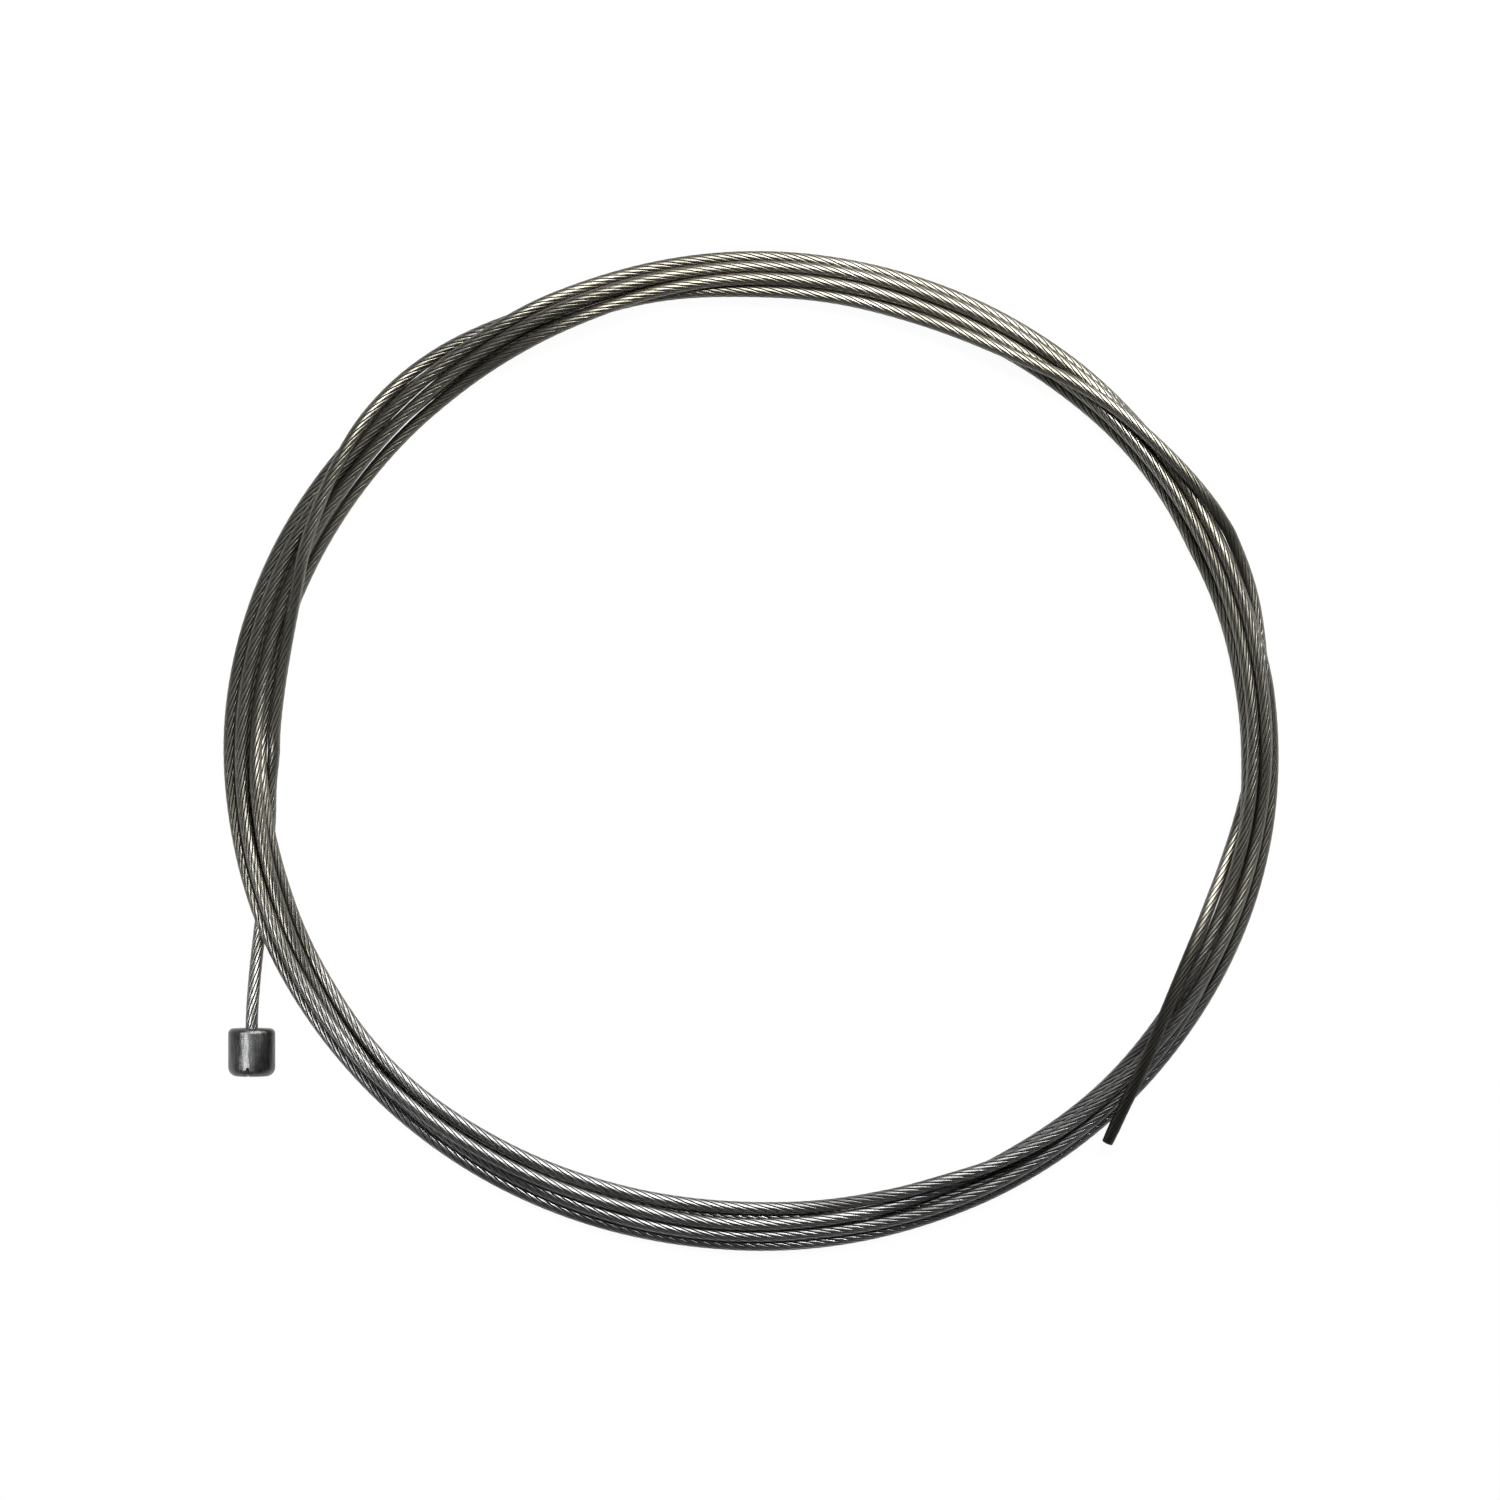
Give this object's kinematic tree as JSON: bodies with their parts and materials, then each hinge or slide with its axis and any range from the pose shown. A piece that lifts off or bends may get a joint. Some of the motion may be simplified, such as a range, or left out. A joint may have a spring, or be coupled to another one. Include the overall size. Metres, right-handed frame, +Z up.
{
  "type": "shift cable",
  "caption": "Coiled bicycle shift cable: a stranded steel inner wire wound into a loose flat ring, with a small round cast head on one end and a cut end on the other.",
  "frame": {"origin": "on the table under the centre of the coil's outline", "axes": "+Z up from the table, +X along the longer width of the coil; the head lies at -X with the wire leaving it towards +Y"},
  "size_m": [0.1008, 0.0955, 0.0049],
  "materials": {
    "stranded_steel": "bright drawn stainless strand, the outer wires lying in a left-hand twist",
    "cast_zinc": "dark grey die-cast surface with a dull sheen"
  },
  "bodies": {
    "root": {"cable_head": "cast_zinc", "inner_wire": "stranded_steel"}
  },
  "joints": []
}
